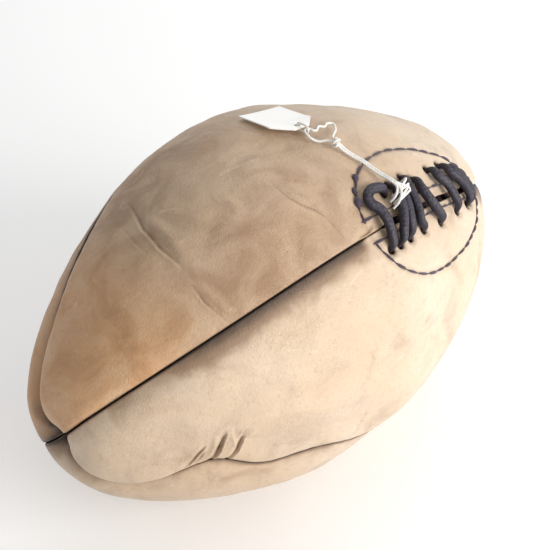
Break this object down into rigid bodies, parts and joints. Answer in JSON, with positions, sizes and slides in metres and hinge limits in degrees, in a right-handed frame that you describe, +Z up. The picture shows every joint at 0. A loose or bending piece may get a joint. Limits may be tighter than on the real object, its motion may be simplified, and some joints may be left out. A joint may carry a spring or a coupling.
{
  "type": "rugby ball",
  "caption": "Four-panel leather rugby ball with a laced slit, sewn lace facings, an inner rubber bladder, and a blank card tag on a string.",
  "frame": {"origin": "on the ground under the middle of the casing's bounding box", "axes": "+X along the ball, towards the end that the lacing is nearer to; +Z up, with the ball resting on its flattened underside; the laced seam faces -Y and up"},
  "size_m": [0.2988, 0.18, 0.1782],
  "materials": {
    "casing_leather": "aged tan leather, matt with a worn sheen, darker in the seams",
    "inner_leather": "reddish brown, matt",
    "lace_leather": "near black, waxed, soft highlights",
    "dark_thread": "thick waxed thread, matt",
    "seam_twine": "waxed linen twine, matt",
    "lining_cotton": "plain woven cotton, matt",
    "bladder_rubber": "red-brown rubber, matt",
    "white_string": "twisted white cotton, matt",
    "white_card": "blank white card, matt"
  },
  "bodies": {
    "ball": {"top_panel": "casing_leather", "front_panel": "casing_leather", "bottom_panel": "casing_leather", "back_panel": "casing_leather", "top_lining": "lining_cotton", "front_lining": "lining_cotton", "bottom_lining": "lining_cotton", "back_lining": "lining_cotton", "seam_twine_a_long": "seam_twine", "seam_twine_a_short": "seam_twine", "seam_twine_b": "seam_twine", "seam_twine_c": "seam_twine", "seam_twine_d": "seam_twine", "lace_facing_upper": "inner_leather", "lace_facing_lower": "inner_leather", "lace_tongue": "inner_leather", "facing_stitch_upper": "dark_thread", "facing_stitch_lower": "dark_thread", "lace": "lace_leather", "bladder": "bladder_rubber", "neck_tie": "lining_cotton", "string_hitch": "white_string", "tag_string": "white_string", "string_knot": "white_string"},
    "tag": {"swing_tag": "white_card", "tag_tie": "white_string"}
  },
  "joints": [
    {"name": "tag_lift", "type": "hinge", "parent": "ball", "child": "tag", "pos_m": [0.0066, -0.01147, 0.17605], "axis": [0.9919, -0.1218, -0.0349], "range_deg": [0, 120]}
  ]
}
